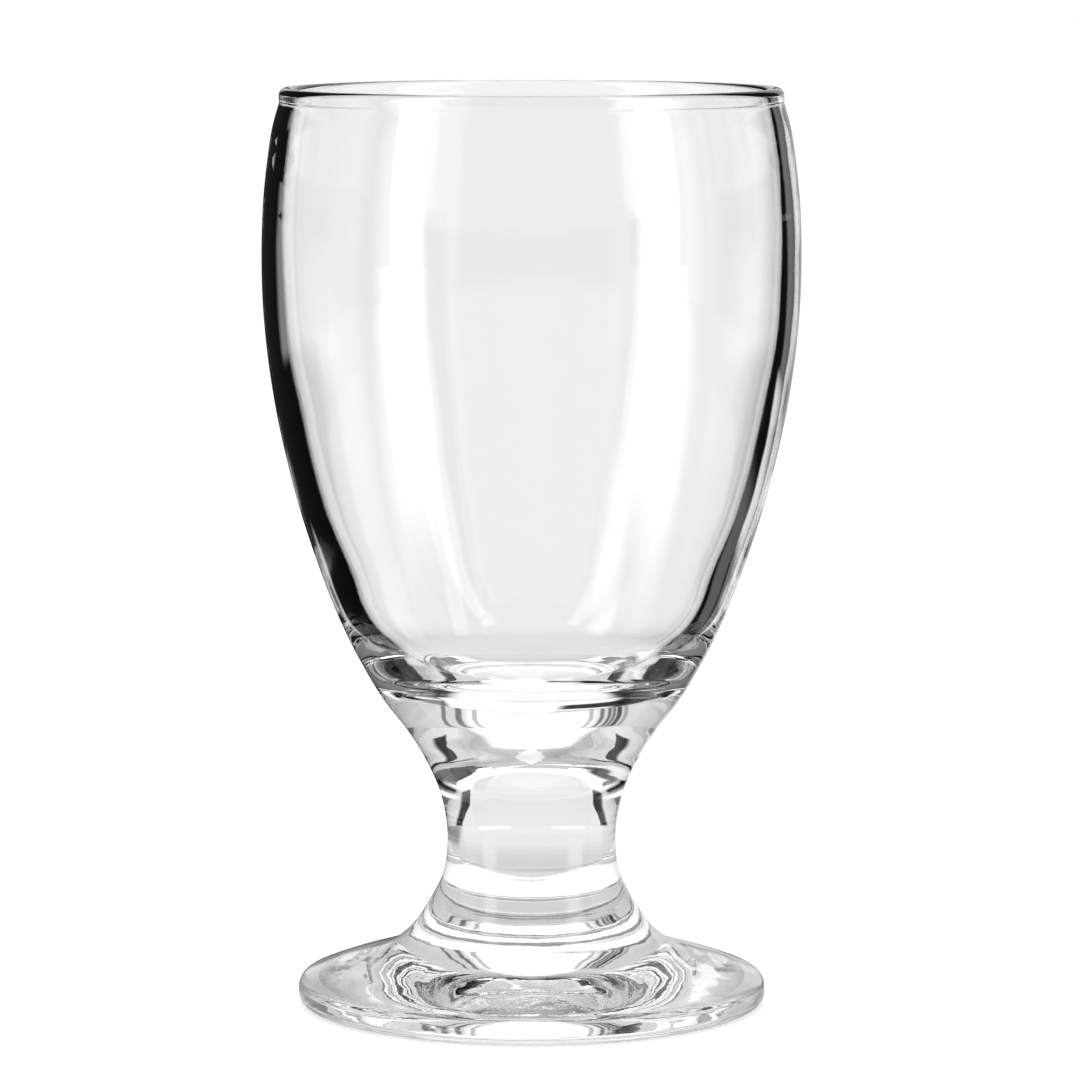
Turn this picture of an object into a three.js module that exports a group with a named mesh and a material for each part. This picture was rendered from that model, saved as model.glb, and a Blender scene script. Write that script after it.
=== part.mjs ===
// A clear footed drinking glass: a deep barrel-shaped bowl, a short solid stem and a round foot.
// Millimetres, +Z up. The origin is the centre of the face that the foot stands on.
// The three pieces are turned about Z and share one smooth outer line. They are fused at two flat
// seams, where each ends in a disc that its neighbour's disc meets exactly.
import * as THREE from 'three';

// Driving dimensions
const height = 136.5;
const footRadius = 34.9;
const sidesPerTurn = 64;

// The rim: the bowl's edge, melted to a rounded bead with a short upright band below it
const rim = {
  outerRadius: 37.2,
  innerRadius: 34.9,
  arcHeight: 1.15,
  outerBand: 1.1,
  innerBand: 1.0,
  steps: 8,
};

// The outer line from the foot's edge to the rim, as [radius, height] points of one smooth curve.
// The waist is at its narrowest point and the belly at its widest.
const footLine = [
  [33.7, 4.25],
  [29.9, 5.65],
  [26.0, 6.85],
  [21.4, 8.55],
  [18.0, 11.3],
];
const footSeam = [15.2, 15.4];
const stemLine = [
  [13.2, 19.6],
  [12.6, 24.6],
  [13.15, 29.6],
];
const bowlSeam = [14.8, 34.6];
const bowlLine = [
  [18.2, 40.5],
  [22.8, 46.7],
  [27.4, 55.2],
  [31.5, 65.3],
  [35.3, 77.5],
  [38.2, 91.0],
  [39.7, 104.5],
  [39.7, 118.0],
  [38.5, 129.0],
];

// The inside of the bowl from under the rim to the crease round its floor, as [radius, height].
// The wall is about 2 mm at the rim, 2.6 mm at the belly and over 4 mm where it meets the base.
const insideLine = [
  [35.7, 131.6],
  [36.8, 124.0],
  [37.15, 112.0],
  [36.3, 99.0],
  [34.05, 87.0],
  [30.95, 75.0],
  [27.4, 65.3],
  [23.9, 57.5],
  [19.4, 51.9],
];
const floorCrease = [14.5, 50.2];
const floorCentreHeight = 49.0;

// The foot's edge and underside
const edge = {
  lowerWidth: 1.9,
  lowerHeight: 1.5,
  upperRadius: 1.8,
  upperHeight: 2.55,
  upperSweep: 70,
  steps: 4,
};
const underside = {
  ringInnerRadius: 30.4,
  hollowDepth: 1.6,
  steps: 5,
};

const stepsPerPoint = 2;

const point = (pair) => new THREE.Vector2(pair[0], pair[1]);

// Samples the curve through all the points between two of them, both ends included.
function smoothLine(pairs, first, last) {
  const curve = new THREE.SplineCurve(pairs.map(point));
  const steps = (last - first) * stepsPerPoint;
  const line = [];
  for (let i = 0; i <= steps; i += 1) {
    const share = (first + i / stepsPerPoint) / (pairs.length - 1);
    line.push(curve.getPoint(share));
  }
  return line;
}

// Samples part of an ellipse between two angles in degrees, counter-clockwise from outwards.
function arc(centre, width, rise, from, to, steps) {
  const line = [];
  for (let i = 0; i <= steps; i += 1) {
    const angle = THREE.MathUtils.degToRad(from + ((to - from) * i) / steps);
    line.push(new THREE.Vector2(
      centre[0] + width * Math.cos(angle),
      centre[1] + rise * Math.sin(angle),
    ));
  }
  return line;
}

const rimBandTop = height - rim.arcHeight;
const outerRimFoot = [rim.outerRadius, rimBandTop - rim.outerBand];
const innerRimFoot = [rim.innerRadius, rimBandTop - rim.innerBand];

const outerLine = [...footLine, footSeam, ...stemLine, bowlSeam, ...bowlLine, outerRimFoot];
const footSeamIndex = footLine.length;
const bowlSeamIndex = footSeamIndex + 1 + stemLine.length;

// The bead over the rim, from the outside over the top to the inside.
function rimLine() {
  const centre = [(rim.outerRadius + rim.innerRadius) / 2, rimBandTop];
  const width = (rim.outerRadius - rim.innerRadius) / 2;
  return arc(centre, width, rim.arcHeight, 0, 180, rim.steps);
}

// A shallow dish: a parabola from its lip to its lowest or highest point on the axis.
function dish(lip, centreHeight, steps) {
  const line = [];
  for (let i = 0; i <= steps; i += 1) {
    const share = i / steps;
    const rise = (centreHeight - lip[1]) * (1 - share * share);
    line.push(new THREE.Vector2(lip[0] * share, lip[1] + rise));
  }
  return line;
}

function bowlProfile() {
  const outside = smoothLine(outerLine, bowlSeamIndex, outerLine.length - 1);
  const insidePoints = [innerRimFoot, ...insideLine, floorCrease];
  const inside = smoothLine(insidePoints, 0, insidePoints.length - 1);
  const floorSteps = 3;
  const floor = dish(floorCrease, floorCentreHeight, floorSteps).reverse();
  const seamCentre = point([0, bowlSeam[1]]);
  return [seamCentre, ...outside, ...rimLine(), ...inside, ...floor.slice(1)];
}

function stemProfile() {
  const outside = smoothLine(outerLine, footSeamIndex, bowlSeamIndex);
  return [point([0, footSeam[1]]), ...outside, point([0, bowlSeam[1]])];
}

function footProfile() {
  const hollow = dish([underside.ringInnerRadius, 0], underside.hollowDepth, underside.steps);
  const lowerCentre = [footRadius - edge.lowerWidth, edge.lowerHeight];
  const lowerCorner = arc(lowerCentre, edge.lowerWidth, edge.lowerHeight, -90, 0, edge.steps);
  const upperCentre = [footRadius - edge.upperRadius, edge.upperHeight];
  const upperCorner = arc(
    upperCentre, edge.upperRadius, edge.upperRadius, 0, edge.upperSweep, edge.steps,
  );
  const top = smoothLine(outerLine, 0, footSeamIndex);
  const seamCentre = point([0, footSeam[1]]);
  return [...hollow, ...lowerCorner, ...upperCorner.slice(0, -1), ...top, seamCentre];
}

// Turns a profile about Z. It starts and ends on the axis, and has the glass on its left.
function turned(name, profile, material) {
  const geometry = new THREE.LatheGeometry(profile, sidesPerTurn);
  geometry.rotateX(Math.PI / 2);
  const mesh = new THREE.Mesh(geometry, material);
  mesh.name = name;
  return mesh;
}

function clearGlass(colour, roughness) {
  return new THREE.MeshStandardMaterial({ color: colour, roughness, metalness: 0 });
}

const goblet = new THREE.Group();
goblet.add(turned('bowl', bowlProfile(), clearGlass(0xebeded, 0.02)));
goblet.add(turned('stem', stemProfile(), clearGlass(0xe6e8e8, 0.03)));
goblet.add(turned('foot', footProfile(), clearGlass(0xe8eaea, 0.05)));

export default goblet;
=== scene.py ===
import bpy
import math
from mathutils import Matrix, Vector, noise


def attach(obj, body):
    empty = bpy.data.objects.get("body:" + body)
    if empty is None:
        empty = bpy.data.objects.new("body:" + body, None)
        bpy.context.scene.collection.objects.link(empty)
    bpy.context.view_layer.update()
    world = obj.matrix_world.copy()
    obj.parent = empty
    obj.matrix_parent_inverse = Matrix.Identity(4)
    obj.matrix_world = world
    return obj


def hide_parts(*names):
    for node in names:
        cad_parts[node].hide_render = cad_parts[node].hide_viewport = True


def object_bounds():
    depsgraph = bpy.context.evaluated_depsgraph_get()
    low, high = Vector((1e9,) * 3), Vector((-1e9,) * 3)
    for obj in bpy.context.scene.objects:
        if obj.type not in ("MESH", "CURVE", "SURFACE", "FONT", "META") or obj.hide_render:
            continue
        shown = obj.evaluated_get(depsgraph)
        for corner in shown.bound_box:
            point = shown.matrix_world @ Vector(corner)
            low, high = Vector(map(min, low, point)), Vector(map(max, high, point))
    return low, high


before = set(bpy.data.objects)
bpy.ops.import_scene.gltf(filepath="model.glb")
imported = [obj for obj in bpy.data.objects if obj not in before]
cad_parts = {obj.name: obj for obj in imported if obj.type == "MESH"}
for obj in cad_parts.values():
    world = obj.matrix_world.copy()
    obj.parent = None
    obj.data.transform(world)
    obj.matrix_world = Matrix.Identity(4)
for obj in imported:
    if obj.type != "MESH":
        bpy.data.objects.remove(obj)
cadLow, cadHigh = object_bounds()
mm = 0.001
print("frame loaded, box in mm", [round(v / mm, 1) for v in cadHigh - cadLow])

scene = bpy.context.scene
scene.view_settings.view_transform = "Standard"

# glass needs many bounces, or its thick base goes black
scene.cycles.max_bounces = 40
scene.cycles.transmission_bounces = 32
scene.cycles.glossy_bounces = 24
scene.cycles.diffuse_bounces = 3


# camera

cameraSetup = {
    "distance": 816.5,        # mm, level distance from the goblet's axis
    "height": 163.1,          # mm above the table
    "sideways": 1.25,         # mm, the goblet stands this much left of the picture's centre
    "tiltDown": 6.545,        # degrees
    "lens": 184.4,            # mm
    "sensor": 36.0,           # mm
    "clip": (0.05, 60.0),     # m, the nearest and the furthest that it sees
}


def makeCamera():
    data = bpy.data.cameras.new("camera")
    data.lens = cameraSetup["lens"]
    data.sensor_width = cameraSetup["sensor"]
    data.clip_start, data.clip_end = cameraSetup["clip"]
    camera = bpy.data.objects.new("camera", data)
    camera.location = (
        cameraSetup["sideways"] * mm,
        -cameraSetup["distance"] * mm,
        cameraSetup["height"] * mm,
    )
    camera.rotation_euler = (math.radians(90 - cameraSetup["tiltDown"]), 0, 0)
    scene.collection.objects.link(camera)
    scene.camera = camera


makeCamera()
print("camera placed")


# the lines that the glass is turned from, each a list of (radius, height) in mm

def curveValue(before, here, there, after, t):
    startSlope = (there - before) / 2
    endSlope = (after - here) / 2
    cubic = 2 * (here - there) + startSlope + endSlope
    square = 3 * (there - here) - 2 * startSlope - endSlope
    return ((cubic * t + square) * t + startSlope) * t + here


def smoothLine(points, first, last, steps):
    line = []
    for i in range(first, last):
        before, here = points[max(i - 1, 0)], points[i]
        there, after = points[i + 1], points[min(i + 2, len(points) - 1)]
        for step in range(steps):
            t = step / steps
            radius = curveValue(before[0], here[0], there[0], after[0], t)
            height = curveValue(before[1], here[1], there[1], after[1], t)
            line.append((radius, height))
    line.append(points[last])
    return line


def arcLine(centre, width, rise, fromAngle, toAngle, steps):
    line = []
    for i in range(steps + 1):
        angle = math.radians(fromAngle + (toAngle - fromAngle) * i / steps)
        line.append((centre[0] + width * math.cos(angle), centre[1] + rise * math.sin(angle)))
    return line


def dishLine(lip, centreHeight, steps):
    line = []
    for i in range(steps + 1):
        share = i / steps
        line.append((lip[0] * share, lip[1] + (centreHeight - lip[1]) * (1 - share * share)))
    return line


# three pieces share this outer line, so their seams are flush

outline = {
    "foot": [(33.7, 4.25), (29.9, 5.65), (26.0, 6.85), (21.4, 8.55), (18.0, 11.3)],
    "footSeam": (15.2, 15.4),
    "stem": [(13.2, 19.6), (12.6, 24.6), (13.15, 29.6)],
    "bowlSeam": (14.8, 34.6),
    "bowl": [
        (18.2, 40.5), (22.8, 46.7), (27.4, 55.2), (31.5, 65.3), (35.3, 77.5),
        (38.2, 91.0), (39.7, 104.5), (39.7, 118.0), (38.5, 129.0),
    ],
    "rim": (37.2, 134.25),
    "seamDip": 0.05,    # mm, how far a seam face is hollowed, so that two never lie in one plane
}
outerPoints = [
    *outline["foot"], outline["footSeam"], *outline["stem"],
    outline["bowlSeam"], *outline["bowl"], outline["rim"],
]
footSeamAt = len(outline["foot"])
bowlSeamAt = footSeamAt + 1 + len(outline["stem"])


# turning a piece

# the waves and rings that dip into the surface, in mm
dips = {
    "tableFade": 0.8,         # over which they come in above the table
    "seamFade": 3.0,          # and on both sides of a seam
    "endFade": 4.0,           # and at the two heights that each runs between
    "ringDrift": 0.35,        # how much the rings differ round the goblet
    "axisRadius": 1.0,        # nearer the axis than this they don't
}
everywhere = (-9, 200)        # mm, heights that take in the whole goblet
sameSpot = 1e-6               # mm, points nearer than this are one


def dipDepth(point, shape):
    # how far the surface dips into the glass here, in mm, with none at the seams and on the table
    x, y, z = point
    fade = min(1.0, z / dips["tableFade"])
    for seam in (outline["footSeam"], outline["bowlSeam"]):
        fade *= min(1.0, abs(z - seam[1]) / dips["seamFade"])
    radius = math.hypot(x, y)
    drift = Vector((x, y)) / max(radius, dips["axisRadius"]) * dips["ringDrift"]
    places = {
        "waves": lambda size, seed: Vector((x / size + seed, y / size, z / size)),
        "rings": lambda size, seed: Vector((radius / size + seed, z / size + drift.x, drift.y)),
    }
    depthHere = 0.0
    for kind, place in places.items():
        for size, depth, seed, low, high in shape[kind]:
            share = min(1.0, (z - low) / dips["endFade"], (high - z) / dips["endFade"])
            depthHere += max(0.0, share) * depth * (1 - noise.noise(place(size, seed))) / 2
    return depthHere * fade


def joinLines(lines):
    # one profile from lines of (kind, points), and each point's kind
    profile, kinds = [], []
    for kind, points in lines:
        for point in points:
            if profile and math.dist(point, profile[-1]) < sameSpot:
                continue
            profile.append(point)
            kinds.append(kind)
    return profile, kinds


def placeRings(profile, kinds, shape):
    # a ring of points for each point of the profile, or one point on the axis
    sides = shape["sides"]
    verts, rings = [], []
    for i, (radius, height) in enumerate(profile):
        before, after = profile[max(i - 1, 0)], profile[min(i + 1, len(profile) - 1)]
        along = Vector((after[0] - before[0], after[1] - before[1])).normalized()
        onSeam = "seam" in (kinds[i], kinds[min(i + 1, len(kinds) - 1)])
        onAxis = radius < sameSpot
        ring = []
        for side in range(1 if onAxis else sides):
            angle = 2 * math.pi * side / sides
            flat = Vector((math.cos(angle), math.sin(angle), 0))
            point = flat * radius + Vector((0, 0, height))
            if not onSeam:
                outward = flat * (0 if onAxis else along.y) - Vector((0, 0, along.x))
                point -= outward * dipDepth(point, shape)
            ring.append(len(verts))
            verts.append(point * mm)
        rings.append(ring)
    return verts, rings


def joinRings(rings, kinds, sides):
    # the faces between neighbouring rings, and each face's material, 0 for glass and 1 for a seam
    faces, slots = [], []
    for i in range(len(rings) - 1):
        low, high = rings[i], rings[i + 1]
        for side in range(sides):
            nextSide = (side + 1) % sides
            if len(low) == 1:
                face = (low[0], high[nextSide], high[side])
            elif len(high) == 1:
                face = (low[side], low[nextSide], high[0])
            else:
                face = (low[side], low[nextSide], high[nextSide], high[side])
            faces.append(face)
            slots.append(1 if kinds[i + 1] == "seam" else 0)
    return faces, slots


def sharpenSeams(mesh):
    # the seam discs meet the wall at an edge that isn't smoothed over
    slotsAtEdge = {}
    for face in mesh.polygons:
        for key in face.edge_keys:
            slotsAtEdge.setdefault(key, set()).add(face.material_index)
    for edge in mesh.edges:
        key = tuple(sorted(edge.vertices))
        edge.use_edge_sharp = len(slotsAtEdge[key]) > 1


def turnPiece(name, lines, shape):
    # lines are in order from the axis back to the axis, with the glass on their left
    profile, kinds = joinLines(lines)
    verts, rings = placeRings(profile, kinds, shape)
    faces, slots = joinRings(rings, kinds, shape["sides"])
    mesh = bpy.data.meshes.new(name)
    mesh.from_pydata(verts, [], faces)
    mesh.polygons.foreach_set("material_index", slots)
    mesh.polygons.foreach_set("use_smooth", [True] * len(faces))
    mesh.validate()
    sharpenSeams(mesh)
    piece = bpy.data.objects.new(name, mesh)
    scene.collection.objects.link(piece)
    return piece


# in the next three dictionaries lengths are in mm, but bumpDepth is in m and bumpScale per m
# waves and rings are (size, depth, seed, the two heights that each runs between)
# tints are faint because the glass is thick, and smear and ringWear are roughness


# bowl

bowl = {
    "sides": 192,
    "rimInside": (34.9, 134.35),
    "rimArcHeight": 1.15,
    "wall": [
        (35.52, 131.6), (36.17, 127.5), (36.86, 121.0), (37.15, 112.0), (36.3, 99.0),
        (34.05, 87.0), (30.95, 75.0), (27.4, 65.3), (23.9, 57.5), (19.4, 51.9),
    ],
    "floorCrease": (14.5, 50.2),
    "floorCentre": 49.0,
    "lineSteps": 14,
    "rimSteps": 20,
    "floorSteps": 10,
    "waves": [
        (26, 0.045, 3.1, *everywhere),
        (7, 0.009, 8.7, *everywhere),
        (6.5, 0.07, 4.4, 34, 54),
    ],
    "rings": [(2.4, 0.015, 6.1, 34, 55)],
    "tint": (0.985, 0.985, 0.985),
    "ior": 1.52,
    "bumpScale": 110.0,
    "bumpDepth": 0.000012,
    "smear": 0.010,
    "ringWear": 0.0,
}


def makeBowl():
    outside = smoothLine(outerPoints, bowlSeamAt, len(outerPoints) - 1, bowl["lineSteps"])
    outsideRadius = outline["rim"][0]
    insideRadius = bowl["rimInside"][0]
    arcStart = cadHigh.z / mm - bowl["rimArcHeight"]
    rimCentre = ((outsideRadius + insideRadius) / 2, arcStart)
    halfWidth = (outsideRadius - insideRadius) / 2
    rim = arcLine(rimCentre, halfWidth, bowl["rimArcHeight"], 0, 180, bowl["rimSteps"])
    insidePoints = [bowl["rimInside"], *bowl["wall"], bowl["floorCrease"]]
    inside = smoothLine(insidePoints, 0, len(insidePoints) - 1, bowl["lineSteps"])
    floor = dishLine(bowl["floorCrease"], bowl["floorCentre"], bowl["floorSteps"])[::-1]
    return turnPiece("bowlGlass", [
        ("seam", [(0, outline["bowlSeam"][1] + outline["seamDip"]), outline["bowlSeam"]]),
        ("glass", outside + rim + inside + floor),
    ], bowl)


# stem

stem = {
    "sides": 192,
    "lineSteps": 9,
    "waves": [(9, 0.05, 5.2, *everywhere)],
    "rings": [(1.3, 0.014, 2.2, *everywhere)],
    "tint": (0.91, 0.912, 0.912),
    "ior": 1.52,
    "bumpScale": 160.0,
    "bumpDepth": 0.00003,
    "smear": 0.006,
    "ringWear": 0.0,
}


def makeStem():
    outside = smoothLine(outerPoints, footSeamAt, bowlSeamAt, stem["lineSteps"])
    return turnPiece("stemGlass", [
        ("seam", [(0, outline["footSeam"][1] + outline["seamDip"]), outline["footSeam"]]),
        ("glass", outside),
        ("seam", [outline["bowlSeam"], (0, outline["bowlSeam"][1] - outline["seamDip"])]),
    ], stem)


# foot

foot = {
    "sides": 192,
    "radius": 34.9,
    "lowerCorner": (1.9, 1.5),          # width, height
    "upperCorner": (1.8, 2.55, 70),     # radius, height of its centre, sweep in degrees
    "ringInside": 30.4,
    "hollowDepth": 1.6,
    "lineSteps": 9,
    "lowerSteps": 8,
    "upperSteps": 10,
    "hollowSteps": 24,
    "waves": [(14, 0.07, 1.3, *everywhere), (4.5, 0.02, 6.9, *everywhere)],
    "rings": [(1.5, 0.035, 7.5, *everywhere)],
    "tint": (0.92, 0.922, 0.922),
    "ior": 1.52,
    "bumpScale": 220.0,
    "bumpDepth": 0.00004,
    "smear": 0.015,
    "ringWear": 0.25,
}


def makeFoot():
    hollow = dishLine((foot["ringInside"], 0), foot["hollowDepth"], foot["hollowSteps"])
    width, height = foot["lowerCorner"]
    lowerCentre = (foot["radius"] - width, height)
    lower = arcLine(lowerCentre, width, height, -90, 0, foot["lowerSteps"])
    radius, centreHeight, sweep = foot["upperCorner"]
    upperCentre = (foot["radius"] - radius, centreHeight)
    upper = arcLine(upperCentre, radius, radius, 0, sweep, foot["upperSteps"])
    top = smoothLine(outerPoints, 0, footSeamAt, foot["lineSteps"])
    return turnPiece("footGlass", [
        ("glass", hollow + lower + upper[:-1] + top),
        ("seam", [outline["footSeam"], (0, outline["footSeam"][1] - outline["seamDip"])]),
    ], foot)


# nodes, where tree is a node tree and a value is a number or a socket

def setSocket(tree, socket, value):
    if isinstance(value, (int, float)):
        socket.default_value = value
    else:
        tree.links.new(value, socket)


def addMath(tree, operation, *values):
    node = tree.nodes.new("ShaderNodeMath")
    node.operation = operation
    for socket, value in zip(node.inputs, values):
        setSocket(tree, socket, value)
    return node.outputs[0]


def addProduct(tree, first, *others):
    for factor in others:
        first = addMath(tree, "MULTIPLY", first, factor)
    return first


def addHighest(tree, first, *others):
    for value in others:
        first = addMath(tree, "MAXIMUM", first, value)
    return first


def addLess(tree, level, mask, share=1.0):
    # takes a share of the level away where the mask is 1
    kept = addMath(tree, "SUBTRACT", 1.0, addProduct(tree, mask, share))
    return addProduct(tree, level, kept)


def addRamp(tree, value, fromRange, toRange=(0.0, 1.0)):
    ramp = tree.nodes.new("ShaderNodeMapRange")
    ramp.interpolation_type = "SMOOTHSTEP"
    tree.links.new(value, ramp.inputs["Value"])
    for label, end in zip(("From Min", "From Max", "To Min", "To Max"), (*fromRange, *toRange)):
        setSocket(tree, ramp.inputs[label], end)
    return ramp.outputs["Result"]


def addSplit(tree, vector):
    split = tree.nodes.new("ShaderNodeSeparateXYZ")
    tree.links.new(vector, split.inputs[0])
    return split.outputs


def addCoords(tree, kind):
    return tree.nodes.new("ShaderNodeTexCoord").outputs[kind]


def addNoise(tree, scale, detail):
    cloud = tree.nodes.new("ShaderNodeTexNoise")
    tree.links.new(addCoords(tree, "Object"), cloud.inputs["Vector"])
    tree.links.new(scale, cloud.inputs["Scale"])
    cloud.inputs["Detail"].default_value = detail
    return cloud.outputs["Fac"]


def newMaterial(name):
    material = bpy.data.materials.new(name)
    material.use_nodes = True
    material.node_tree.nodes.clear()
    return material, material.node_tree


def newGroup(name, inputs, outputs):
    group = bpy.data.node_groups.new(name, "ShaderNodeTree")
    for label, value in inputs:
        socket = group.interface.new_socket(label, in_out="INPUT", socket_type="NodeSocketFloat")
        socket.default_value = value
    for label in outputs:
        group.interface.new_socket(label, in_out="OUTPUT", socket_type="NodeSocketFloat")
    enter = group.nodes.new("NodeGroupInput")
    leave = group.nodes.new("NodeGroupOutput")
    return group, enter.outputs, leave.inputs


def placeGroup(tree, group, values):
    node = tree.nodes.new("ShaderNodeGroup")
    node.node_tree = group
    for label, value in values.items():
        node.inputs[label].default_value = value
    return node.outputs


# surface effects that the three pieces share

def makeFirePolish():
    # the soft unevenness that pressed glass keeps after its surface is melted smooth
    inputs = [("Scale", 150.0), ("Fine Scale", 600.0), ("Fine Share", 0.1)]
    group, given, result = newGroup("firePolish", inputs, ["Height"])
    broad = addNoise(group, given["Scale"], detail=1.0)
    fine = addNoise(group, given["Fine Scale"], detail=2.0)
    fine = addProduct(group, fine, given["Fine Share"])
    group.links.new(addMath(group, "ADD", broad, fine), result["Height"])
    return group


def makeHandling():
    # faint smears where the glass is held, and a dull ring where it stands on tables
    smearEnds = (0.5, 0.75)     # density of the cloud where a smear begins and where it is full
    inputs = [("Smear", 0.01), ("Smear Scale", 60.0), ("Ring Wear", 0.0), ("Ring Height", 0.0003)]
    group, given, result = newGroup("handling", inputs, ["Roughness"])
    cloud = addNoise(group, given["Smear Scale"], detail=4.0)
    smear = addProduct(group, addRamp(group, cloud, smearEnds), given["Smear"])
    height = addSplit(group, addCoords(group, "Object"))["Z"]
    worn = addRamp(group, height, (0.0, given["Ring Height"]), (given["Ring Wear"], 0.0))
    group.links.new(addHighest(group, smear, worn), result["Roughness"])
    return group


firePolish = makeFirePolish()
handling = makeHandling()
fineTimes = 4       # how much finer the fine bumps are than the broad ones


def makeGlass(name, look):
    material, tree = newMaterial(name)
    output = tree.nodes.new("ShaderNodeOutputMaterial")
    shader = tree.nodes.new("ShaderNodeBsdfPrincipled")
    shader.inputs["Base Color"].default_value = (*look["tint"], 1)
    shader.inputs["IOR"].default_value = look["ior"]
    shader.inputs["Transmission Weight"].default_value = 1.0
    tree.links.new(shader.outputs["BSDF"], output.inputs["Surface"])
    polish = placeGroup(tree, firePolish, {
        "Scale": look["bumpScale"],
        "Fine Scale": look["bumpScale"] * fineTimes,
    })
    bump = tree.nodes.new("ShaderNodeBump")
    bump.inputs["Distance"].default_value = look["bumpDepth"]
    tree.links.new(polish["Height"], bump.inputs["Height"])
    tree.links.new(bump.outputs["Normal"], shader.inputs["Normal"])
    marks = placeGroup(tree, handling, {"Smear": look["smear"], "Ring Wear": look["ringWear"]})
    tree.links.new(marks["Roughness"], shader.inputs["Roughness"])
    return material


def makeSeam():
    # the joint inside the glass, where nothing bends the light
    material, tree = newMaterial("fusedSeam")
    output = tree.nodes.new("ShaderNodeOutputMaterial")
    shader = tree.nodes.new("ShaderNodeBsdfPrincipled")
    shader.inputs["Base Color"].default_value = (1, 1, 1, 1)
    shader.inputs["IOR"].default_value = 1.0
    shader.inputs["Transmission Weight"].default_value = 1.0
    shader.inputs["Roughness"].default_value = 0.0
    tree.links.new(shader.outputs["BSDF"], output.inputs["Surface"])
    return material


fusedSeam = makeSeam()
print("shared materials made")


# room
# levels are what a kind of ray sees, where 1 is white, and angles are in degrees
# a sector is (angle from +Y towards +X, half width, softness)
# a band is (lowest elevation, highest, softness), and ends are where a change begins and is full

studio = {
    "through": 0.96,                # straight through the glass
    "bounced": (0.74, 0.58),        # by way of a reflection inside the glass, low and from overhead
    "deep": 0.03,                   # share that is left of it after four such reflections
    "mirrored": 0.03,               # off the outside of the glass
    "gap": 1.15,                    # bounced level in the gaps
    "gaps": [(0, 18, 4), (135, 9, 3), (-90, 9, 3)],
    # lower gaps, which reach no higher than the horizon: a sector and a level
    "lowGaps": [
        ((8, 13.5, 2.5), 1.6), ((28, 4.5, 2), 0.25), ((135, 9, 3), 0.9), ((-90, 9, 3), 0.9),
    ],
    "greyShade": (62, 17, 4),        # beside the glass, for rays straight through it
    "greyShadeDark": 0.6,
    "walls": [(15, 9, 3), (-90, 11, 4), (86, 12, 4)],   # white ones that the outside mirrors
    "wallLevel": 0.6,
}

# dark stands behind the glass, with their angles from the line of sight
stand = {
    "places": [(0, (-1, 1)), (135, (-1, 1)), (-90, (-1,))],     # lines of sight, and which sides
    "inner": 33.0,
    "innerSoft": (-0.6, 0.6),
    "outer": 41.0,
    "outerSoft": (-1.0, 4.0),
    "footOut": 10.0,                # how far its foot stands out
    "leanTop": 14,                  # how high up it leans
    "top": 28,
}

# soft boxes at both sides: angle from the camera's side, width in m, level, and the height in m
# up to which rays reflected once inside the glass see only their middle
softBoxes = {
    "softBoxLeft": {"angle": -58, "width": 0.34, "level": 2.7, "narrowTo": 0.35},
    "softBoxRight": {"angle": 60, "width": 0.44, "level": 2.7, "narrowTo": 2.0},
}


def sines(angles):
    return [math.sin(math.radians(angle)) for angle in angles]


def addDot(tree, vector, axis):
    product = tree.nodes.new("ShaderNodeVectorMath")
    product.operation = "DOT_PRODUCT"
    tree.links.new(vector, product.inputs[0])
    product.inputs[1].default_value = axis
    return product.outputs["Value"]


def addFlat(tree, vector):
    # the vector's level part, one unit long
    level = tree.nodes.new("ShaderNodeVectorMath")
    level.operation = "MULTIPLY"
    tree.links.new(vector, level.inputs[0])
    level.inputs[1].default_value = (1, 1, 0)
    flat = tree.nodes.new("ShaderNodeVectorMath")
    flat.operation = "NORMALIZE"
    tree.links.new(level.outputs[0], flat.inputs[0])
    return flat.outputs[0]


def addSector(tree, flat, angle, halfWidth, softness):
    # 1 within the half width of an angle round the goblet, 0 outside it
    turn = math.radians(angle)
    ends = [math.cos(math.radians(halfWidth + step)) for step in (softness, -softness)]
    return addRamp(tree, addDot(tree, flat, (math.sin(turn), math.cos(turn), 0)), ends)


def addSectors(tree, flat, sectors):
    return addHighest(tree, *[addSector(tree, flat, *sector) for sector in sectors])


def addBand(tree, height, low, high, softness=1.0):
    # 1 between two elevations, where height is the sine of the elevation
    rising = addRamp(tree, height, sines((low - softness, low + softness)))
    falling = addRamp(tree, height, sines((high - softness, high + softness)), (1.0, 0.0))
    return addProduct(tree, rising, falling)


def addRayKinds(tree):
    # one share for each kind of ray that isn't the camera's own
    path = tree.nodes.new("ShaderNodeLightPath").outputs
    throughGlass = path["Is Transmission Ray"]
    bouncedInside = addMath(tree, "GREATER_THAN", path["Glossy Depth"], 0.5)    # once or more
    bounced = addProduct(tree, throughGlass, bouncedInside)
    through = addMath(tree, "SUBTRACT", throughGlass, bounced)
    return path, through, bounced


def addMirrored(tree, path):
    # a ray that leaves clear glass counts as glossy too
    return addMath(tree, "GREATER_THAN", path["Is Glossy Ray"], path["Is Transmission Ray"])


endless = 99        # more often than any ray is reflected


def addBouncedTimes(tree, path, low, high):
    # 1 for rays that were reflected inside the glass at least low and at most high times
    middle, reach = (low + high) / 2, (high - low) / 2
    slack = 0.4     # counts are whole
    return addMath(tree, "COMPARE", path["Glossy Depth"], middle, reach + slack)


def addLevels(tree, pairs):
    total = 0.0
    for share, level in pairs:
        total = addMath(tree, "ADD", addProduct(tree, share, level), total)
    return total


def addLowGaps(tree, flat):
    gaps = []
    for sector, level in studio["lowGaps"]:
        gaps.append(addProduct(tree, addSector(tree, flat, *sector), level))
    return addHighest(tree, *gaps)


def addMirroredWalls(tree, flat):
    walls = addProduct(tree, addSectors(tree, flat, studio["walls"]), studio["wallLevel"])
    return addHighest(tree, walls, studio["mirrored"])


# world

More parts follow.
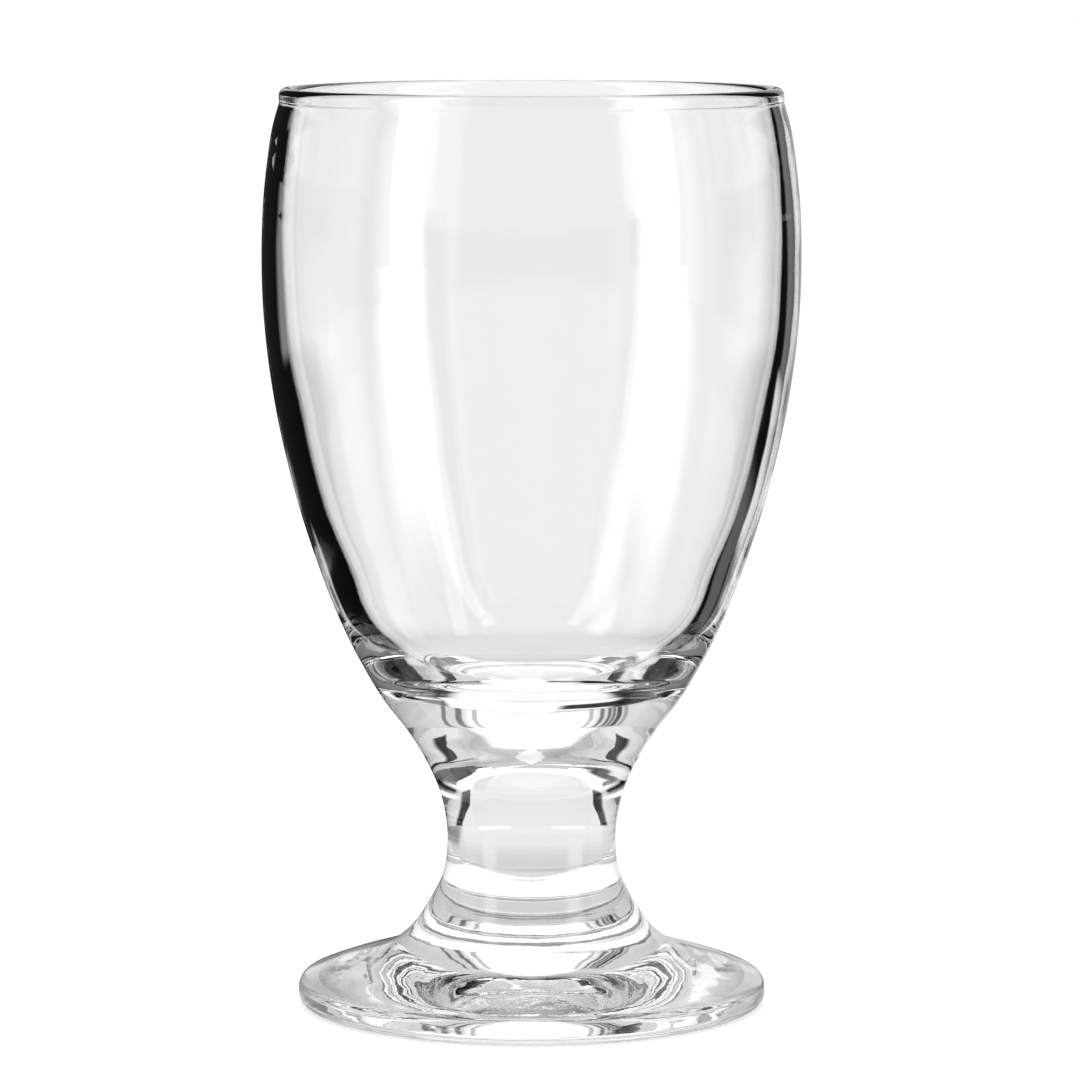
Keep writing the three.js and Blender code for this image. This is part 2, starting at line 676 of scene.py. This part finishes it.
room = {
    "fill": 0.6,                    # light on the table from the room
    "overhead": (36, 51),           # brighter band, and what it adds
    "overheadExtra": 0.4,
    "greyShadeBand": (-90, 22, 3),
    "paperEnds": (40, 58),          # where the bounced level goes from low to overhead
    "darkWallEnds": (1.0, 3.0),     # where bounced rays' dark band just above the table ends
    "ceilingBand": (20, 60, 3),
    "ceilingExtra": 0.2,            # more light there for rays reflected twice inside the glass
    "gapEnds": (1, 4),              # where the low gaps end and the others begin
    "ownLowGap": (-12, 8.5, 2.5),   # one more low gap, only above the table
    # thin dark bars of its panels: angle, half width, how dark
    "bars": [
        (-26.0, 0.7, 0.5), (-23.6, 0.8, 0.95), (-21.8, 0.45, 0.75),
        (-20.3, 0.45, 0.8), (-18.0, 0.5, 0.75), (-14.8, 0.5, 0.5),
        (14.1, 0.6, 0.5), (18.8, 0.9, 0.75), (23.7, 0.7, 0.75),
    ],
    "barSoftness": 0.35,
    "barBand": (2, 35, 2),
    # dark cards at the sides: angle, half width, lowest and highest elevation
    "sideCards": [(-104, 14, 10, 60), (104, 14, -4, 60), (-110, 6, -4, 12)],
    "cardSoftness": 2.0,
    "underTable": 1.2,              # bounced level below the table, seen where the foot touches it
    "underEnds": (-12, -6),
    "deepBand": (-22, 30, 4),       # where rays reflected four times see little
    "deepestEnds": (22, 32),        # and above these, rays reflected ten times or more
    "deepestLoss": (0.0, 0.65),
    "frontWall": (0, 11, 3),        # white wall that the top of the foot mirrors
    "frontWallBand": (3, 32, 2),
    "frontWallLevel": 0.85,
}


def addStand(tree, flat, height, angle, sides):
    # upright stands on one or both sides of an angle, which lean out towards the table
    turn = math.radians(angle)
    across = addDot(tree, flat, (math.cos(turn), -math.sin(turn), 0))
    along = addDot(tree, flat, (math.sin(turn), math.cos(turn), 0))
    if len(sides) == 2:
        across = addMath(tree, "ABSOLUTE", across)
    elif sides[0] < 0:
        across = addProduct(tree, across, -1.0)
    bearing = addMath(tree, "ARCTAN2", across, along)
    leanEnds = sines((0, stand["leanTop"]))
    lean = addRamp(tree, height, leanEnds, (math.radians(stand["footOut"]), 0.0))
    upright = addMath(tree, "SUBTRACT", bearing, lean)
    inner = [math.radians(stand["inner"] + step) for step in stand["innerSoft"]]
    outer = [math.radians(stand["outer"] + step) for step in stand["outerSoft"]]
    sector = addProduct(
        tree, addRamp(tree, upright, inner), addRamp(tree, upright, outer, (1.0, 0.0)),
    )
    return addProduct(tree, sector, addBand(tree, height, 0, stand["top"]))


def addThroughRoom(tree, flat, height, stands):
    overhead = addProduct(tree, addBand(tree, height, *room["overhead"]), room["overheadExtra"])
    level = addMath(tree, "ADD", overhead, studio["through"])
    level = addLess(tree, level, stands)
    greyShade = addSector(tree, flat, *studio["greyShade"])
    greyShade = addProduct(tree, greyShade, addBand(tree, height, *room["greyShadeBand"]))
    return addLess(tree, level, greyShade, studio["greyShadeDark"])


def addBars(tree, flat, height):
    bars = []
    for angle, halfWidth, dark in room["bars"]:
        sector = addSector(tree, flat, angle, halfWidth, room["barSoftness"])
        bars.append(addProduct(tree, sector, dark))
    return addProduct(tree, addHighest(tree, *bars), addBand(tree, height, *room["barBand"]))


def addSideCards(tree, flat, height):
    cards = []
    softness = room["cardSoftness"]
    for angle, halfWidth, low, high in room["sideCards"]:
        sector = addSector(tree, flat, angle, halfWidth, softness)
        cards.append(addProduct(tree, sector, addBand(tree, height, low, high, softness)))
    return addHighest(tree, *cards)


def addBouncedRoom(tree, path, flat, height, stands):
    once, twice, four, tenOrMore = [
        addBouncedTimes(tree, path, *times) for times in ((1, 1), (2, 2), (4, 4), (10, endless))
    ]
    paper = addRamp(tree, height, sines(room["paperEnds"]), studio["bounced"])
    level = addProduct(tree, addRamp(tree, height, sines(room["darkWallEnds"])), paper)
    ceiling = addProduct(tree, twice, addBand(tree, height, *room["ceilingBand"]))
    level = addLess(tree, level, ceiling, -room["ceilingExtra"])
    level = addLess(tree, level, addProduct(tree, twice, stands))
    level = addLess(tree, level, addProduct(tree, once, addSideCards(tree, flat, height)))

    gapEnds = sines(room["gapEnds"])
    gaps = addSectors(tree, flat, studio["gaps"])
    gaps = addProduct(tree, gaps, addRamp(tree, height, gapEnds, (0.0, studio["gap"])))
    lowGaps = addHighest(tree, addLowGaps(tree, flat), addSector(tree, flat, *room["ownLowGap"]))
    lowGaps = addProduct(tree, lowGaps, addRamp(tree, height, gapEnds, (1.0, 0.0)))
    level = addHighest(tree, level, gaps, lowGaps)

    level = addLess(tree, level, addProduct(tree, once, addBars(tree, flat, height)))
    under = addRamp(tree, height, sines(room["underEnds"]), (room["underTable"], 0.0))
    level = addHighest(tree, level, under)
    deepBand = addProduct(tree, four, addBand(tree, height, *room["deepBand"]))
    level = addLess(tree, level, deepBand, 1 - studio["deep"])
    deepest = addRamp(tree, height, sines(room["deepestEnds"]), room["deepestLoss"])
    return addLess(tree, level, tenOrMore, deepest)


def addMirroredRoom(tree, flat, height):
    frontWall = addSector(tree, flat, *room["frontWall"])
    frontWall = addProduct(
        tree, frontWall, addBand(tree, height, *room["frontWallBand"]), room["frontWallLevel"],
    )
    return addHighest(tree, addMirroredWalls(tree, flat), frontWall)


def makeWorld():
    world = bpy.data.worlds.new("studio")
    scene.world = world
    world.use_nodes = True
    tree = world.node_tree
    tree.nodes.clear()
    output = tree.nodes.new("ShaderNodeOutputWorld")
    background = tree.nodes.new("ShaderNodeBackground")
    background.inputs["Color"].default_value = (1, 1, 1, 1)
    path, through, bounced = addRayKinds(tree)
    direction = addCoords(tree, "Generated")
    height = addSplit(tree, direction)["Z"]
    flat = addFlat(tree, direction)
    stands = addHighest(tree, *[
        addStand(tree, flat, height, angle, sides) for angle, sides in stand["places"]
    ])
    strength = addLevels(tree, [
        (path["Is Camera Ray"], 1.0),
        (path["Is Diffuse Ray"], room["fill"]),
        (through, addThroughRoom(tree, flat, height, stands)),
        (bounced, addBouncedRoom(tree, path, flat, height, stands)),
        (addMirrored(tree, path), addMirroredRoom(tree, flat, height)),
    ])
    tree.links.new(strength, background.inputs["Strength"])
    tree.links.new(background.outputs["Background"], output.inputs["Surface"])


# table, where ends and distances are in m from the goblet's axis

table = {
    "size": 8.0,                    # m
    "paint": (0.85, 0.85, 0.85),
    "glow": 0.5,                    # what the camera sees besides the light on its paint
    "through": (0.74, 1.0),         # straight through the glass: a painted shadow under the foot, and plain further off
    "footShadowEnds": (0.040, 0.20),
    "greyShadeEnds": (0.05, 0.12),
    # brighter parts further off, for rays straight through the bowl's sides
    "bright": [(-19, 7.5, 4), (19, 7.5, 4)],
    "brightEnds": (0.5, 0.9),
    "brightExtra": 0.3,
    "bounced": 1.3,                 # painted light near the foot, to bounced rays
    "mirrored": 0.25,               # and to mirrored ones
    "darkEnds": (0.045, 0.065),     # where that painted light near the foot ends
    "gapEnds": (0.09, 0.15),        # where the gaps end and the low gaps begin
    # more painted light patches, only on the table: a sector, a level, and two distances
    "paintedLightPatches": [
        ((-12, 8.5, 2.5), 1.1, 0.03, 0.3), ((29, 6, 2), 1.2, 0.22, 0.42),
        ((-42, 6, 3), 0.3, 0.5, 9.0), ((43, 7, 2), 0.14, 0.12, 0.29),
    ],
    "gapSoft": (0.85, 1.15),        # shares of a distance over which such a gap starts or ends
    "deepEnds": (0.05, 0.08),       # beyond these, rays reflected four times see little
    "pool": (9.5, 4.5),             # the soft boxes' light painted on it: half width, softness
    "poolEnds": (0.06, 0.2),
}


def addThroughTable(tree, flat, away):
    # painted shadow under the foot, fading out between the two ends, seen only through the glass
    level = addRamp(tree, away, table["footShadowEnds"], table["through"])
    # painted grey shade on the table, in the same sector as the room's, seen only by rays through
    # the glass
    greyShade = addSector(tree, flat, *studio["greyShade"])
    greyShade = addProduct(tree, greyShade, addRamp(tree, away, table["greyShadeEnds"]))
    level = addLess(tree, level, greyShade, studio["greyShadeDark"])
    bright = addSectors(tree, flat, table["bright"])
    bright = addProduct(tree, bright, addRamp(tree, away, table["brightEnds"]))
    return addLess(tree, level, bright, -table["brightExtra"])


def addPool(tree, flat, away):
    # painted pools of the soft boxes' light, which don't light the table itself
    pools = []
    for box in softBoxes.values():
        sector = addSector(tree, flat, -180 - box["angle"], *table["pool"])
        pools.append(addProduct(tree, sector, box["level"]))
    return addProduct(tree, addHighest(tree, *pools), addRamp(tree, away, table["poolEnds"]))


def addTableLightPatches(tree, path, flat, away):
    # the room's gaps go on across the table as painted light patches, seen only by rays from the
    # glass
    gaps = [addLowGaps(tree, flat)]
    for sector, level, nearEnd, farEnd in table["paintedLightPatches"]:
        nearEnds = [nearEnd * share for share in table["gapSoft"]]
        farEnds = [farEnd * share for share in table["gapSoft"]]
        rising = addRamp(tree, away, nearEnds, (0.0, level))
        falling = addRamp(tree, away, farEnds, (1.0, 0.0))
        gaps.append(addProduct(tree, rising, falling, addSector(tree, flat, *sector)))
    level = addProduct(tree, addHighest(tree, *gaps), addRamp(tree, away, table["gapEnds"]))
    # rays that went round inside the wall see no gaps, so the bowl's edges stay black
    return addLess(tree, level, addBouncedTimes(tree, path, 3, endless))


def addBouncedTable(tree, path, flat, away, footLightMask, pool):
    # the room's gaps, painted on the table near the foot as light patches
    gaps = addSectors(tree, flat, studio["gaps"])
    gaps = addProduct(tree, gaps, addRamp(tree, away, table["gapEnds"], (studio["gap"], 0.0)))
    nearLevel = addProduct(tree, footLightMask, table["bounced"])
    level = addHighest(tree, nearLevel, gaps, addTableLightPatches(tree, path, flat, away), pool)
    four = addBouncedTimes(tree, path, 4, 4)
    four = addProduct(tree, four, addRamp(tree, away, table["deepEnds"]))
    return addLess(tree, level, four, 1 - studio["deep"])


def makePaper():
    material, tree = newMaterial("palePaper")
    output = tree.nodes.new("ShaderNodeOutputMaterial")
    paint = tree.nodes.new("ShaderNodeBsdfDiffuse")
    paint.inputs["Color"].default_value = (*table["paint"], 1)
    glow = tree.nodes.new("ShaderNodeEmission")
    glow.inputs["Strength"].default_value = table["glow"]
    lit = tree.nodes.new("ShaderNodeAddShader")
    tree.links.new(paint.outputs[0], lit.inputs[0])
    tree.links.new(glow.outputs[0], lit.inputs[1])

    # what rays by way of the glass see instead: painted light and shade on the table, which the
    # camera doesn't see
    path, through, bounced = addRayKinds(tree)
    place = addCoords(tree, "Object")
    distance = tree.nodes.new("ShaderNodeVectorMath")
    distance.operation = "LENGTH"
    tree.links.new(place, distance.inputs[0])
    away = distance.outputs["Value"]
    flat = addFlat(tree, place)
    # painted light on the table near the foot, for bounced and mirrored rays
    footLightMask = addRamp(tree, away, table["darkEnds"], (1.0, 0.0))
    pool = addPool(tree, flat, away)
    mirroredLevel = addHighest(
        tree, addProduct(tree, footLightMask, table["mirrored"]), addMirroredWalls(tree, flat), pool,
    )
    strength = addLevels(tree, [
        (through, addThroughTable(tree, flat, away)),
        (bounced, addBouncedTable(tree, path, flat, away, footLightMask, pool)),
        (addMirrored(tree, path), mirroredLevel),
    ])
    seen = tree.nodes.new("ShaderNodeEmission")
    tree.links.new(strength, seen.inputs["Strength"])

    mix = tree.nodes.new("ShaderNodeMixShader")
    plainSight = addHighest(tree, path["Is Camera Ray"], path["Is Diffuse Ray"])
    tree.links.new(plainSight, mix.inputs["Fac"])
    tree.links.new(seen.outputs[0], mix.inputs[1])
    tree.links.new(lit.outputs[0], mix.inputs[2])
    tree.links.new(mix.outputs[0], output.inputs["Surface"])
    return material


def makeTable():
    half = table["size"] / 2
    mesh = bpy.data.meshes.new("table")
    corners = [(-half, -half, 0), (half, -half, 0), (half, half, 0), (-half, half, 0)]
    mesh.from_pydata(corners, [], [(0, 1, 2, 3)])
    mesh.materials.append(makePaper())
    floor = bpy.data.objects.new("table", mesh)
    scene.collection.objects.link(floor)


# soft boxes, tall upright panels that are brightest in the middle

panel = {
    "distance": 0.7,          # m from the goblet's axis
    "heights": (0.02, 1.6),   # m
    "fade": 0.15,             # share of the half width where it starts to fade
    "middle": (0.3, 0.45),    # shares of the half width between which the narrow part ends
    "narrowSoft": 0.05,       # m
    "manyLoss": 0.8,          # share that is lost after six or more reflections inside the glass
}


def makeGlow(name, box):
    half = box["width"] / 2
    material, tree = newMaterial(name)
    output = tree.nodes.new("ShaderNodeOutputMaterial")
    glow = tree.nodes.new("ShaderNodeEmission")
    path, through, bounced = addRayKinds(tree)
    once, few, four, many = [
        addBouncedTimes(tree, path, *times) for times in ((1, 1), (2, 3), (4, 5), (6, endless))
    ]
    place = addSplit(tree, addCoords(tree, "Object"))
    offCentre = addMath(tree, "ABSOLUTE", place["X"])
    strength = addRamp(tree, offCentre, (half * panel["fade"], half), (box["level"], 0.0))

    # below the height narrowTo, rays reflected once inside the glass see only its middle
    edges = addRamp(tree, offCentre, [half * share for share in panel["middle"]])
    narrowEnds = (box["narrowTo"] - panel["narrowSoft"], box["narrowTo"] + panel["narrowSoft"])
    lower = addRamp(tree, place["Z"], narrowEnds, (1.0, 0.0))
    strength = addLess(tree, strength, addProduct(tree, edges, lower, once, bounced))
    strength = addLess(tree, strength, many, panel["manyLoss"])

    # straight through the glass, or after two to five reflections, it is as plain as the room
    plain = addHighest(tree, through, few, four)
    total = addLevels(tree, [
        (addMath(tree, "SUBTRACT", 1.0, plain), strength),
        (through, studio["through"]),
        (few, studio["bounced"][0]),
        (four, studio["deep"]),
    ])
    tree.links.new(total, glow.inputs["Strength"])
    tree.links.new(glow.outputs[0], output.inputs["Surface"])
    return material


def makeSoftBox(name, box):
    half = box["width"] / 2
    low, high = panel["heights"]
    mesh = bpy.data.meshes.new(name)
    corners = [(-half, 0, low), (half, 0, low), (half, 0, high), (-half, 0, high)]
    mesh.from_pydata(corners, [], [(0, 1, 2, 3)])
    mesh.materials.append(makeGlow(name, box))
    softBox = bpy.data.objects.new(name, mesh)
    angle, distance = math.radians(box["angle"]), panel["distance"]
    softBox.location = (math.sin(angle) * distance, -math.cos(angle) * distance, 0)
    softBox.rotation_euler = (0, 0, angle)
    softBox.visible_camera = False
    softBox.visible_diffuse = False
    scene.collection.objects.link(softBox)


overheadLamp = {"size": 1.2, "height": 1.8, "power": 9.0}       # m, m, watts


def makeOverheadLamp():
    # lights the table from above, and the glass doesn't mirror it
    data = bpy.data.lights.new("overheadLamp", "AREA")
    data.shape = "DISK"
    data.size = overheadLamp["size"]
    data.energy = overheadLamp["power"]
    lamp = bpy.data.objects.new("overheadLamp", data)
    lamp.location = (0, 0, overheadLamp["height"])
    lamp.visible_glossy = False
    lamp.visible_transmission = False
    scene.collection.objects.link(lamp)


# making it all

for maker, node, slotName, look in (
    (makeBowl, "bowl", "bowl_glass", bowl),
    (makeStem, "stem", "stem_glass", stem),
    (makeFoot, "foot", "foot_glass", foot),
):
    piece = maker()
    piece.data.materials.append(makeGlass(node + "Glass", look))
    piece.data.materials.append(fusedSeam)
    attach(piece, "root")
    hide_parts(node)
    print(piece.name, "made,", len(piece.data.polygons), "faces")

makeWorld()
makeTable()
for name, box in softBoxes.items():
    makeSoftBox(name, box)
makeOverheadLamp()
print("room and lights made")
